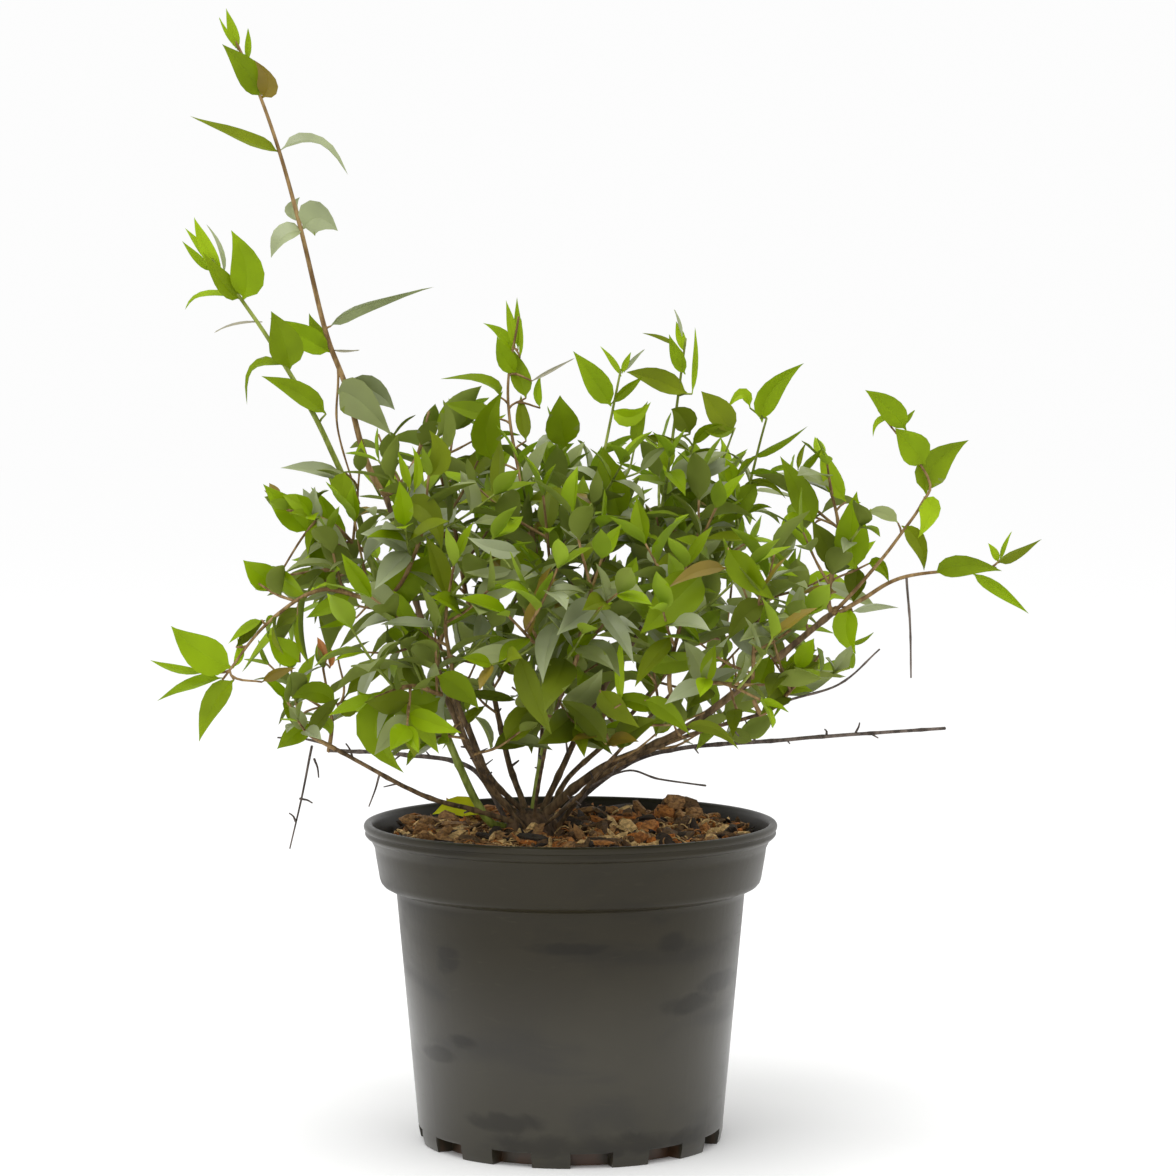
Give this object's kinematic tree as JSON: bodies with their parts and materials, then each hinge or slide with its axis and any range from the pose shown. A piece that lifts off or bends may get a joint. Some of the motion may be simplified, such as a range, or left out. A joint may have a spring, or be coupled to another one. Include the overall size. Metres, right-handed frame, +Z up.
{
  "type": "potted abelia shrub",
  "caption": "Young abelia shrub with one long arching shoot, loose leafy sprays and bare twigs, in a dark round plastic nursery pot filled with bark compost",
  "frame": {"origin": "centre of the pot's flat underside", "axes": "+Z up, the side that the picture shows faces -Y, +X to the right as seen from there"},
  "size_m": [0.3899, 0.2892, 0.5184],
  "materials": {
    "pot_plastic": "satin moulded plastic, scuffed, with dull smudges",
    "compost": "coarse damp bark chips and fibre",
    "bark": "thin ridged bark, dull",
    "green_bark": "smooth young green bark",
    "foliage": "thin satin leaves on fine twigs"
  },
  "bodies": {
    "root": {"back_bough": "bark", "back_core_spray": "foliage", "back_left_bough": "bark", "back_left_spray": "foliage", "back_left_upper_spray": "foliage", "back_right_bough": "bark", "back_right_spray": "foliage", "back_right_upper_spray": "foliage", "back_spray": "foliage", "back_upper_spray": "foliage", "centre_bough": "bark", "centre_left_bough": "bark", "centre_right_bough": "bark", "centre_spray": "foliage", "compost": "compost", "crown_left_spray": "foliage", "crown_middle_spray": "foliage", "crown_right_spray": "foliage", "far_right_spray": "foliage", "flat_left_bough": "bark", "flat_left_spray": "foliage", "front_bough": "bark", "front_left_bough": "bark", "front_left_spray": "foliage", "front_left_upper_spray": "foliage", "front_right_bough": "bark", "front_right_spray": "foliage", "front_right_upper_spray": "foliage", "front_spray": "foliage", "front_upper_spray": "foliage", "green_cane": "green_bark", "green_spray": "foliage", "inner_left_spray": "foliage", "inner_right_spray": "foliage", "leader_cane": "bark", "leader_spray": "foliage", "left_bough": "bark", "left_fill_spray": "foliage", "left_round_spray": "foliage", "left_tip_spray": "foliage", "left_upper_spray": "foliage", "low_bare_twig": "bark", "low_left_bough": "bark", "low_left_spray": "foliage", "pot": "pot_plastic", "right_arch_spray": "foliage", "right_bare_twig": "bark", "right_bough": "bark", "right_front_spray": "foliage", "right_low_spray": "foliage", "right_lower_bough": "bark", "right_upper_spray": "foliage", "stool": "bark", "top_left_spray": "foliage", "upper_right_spray": "foliage"}
  },
  "joints": []
}
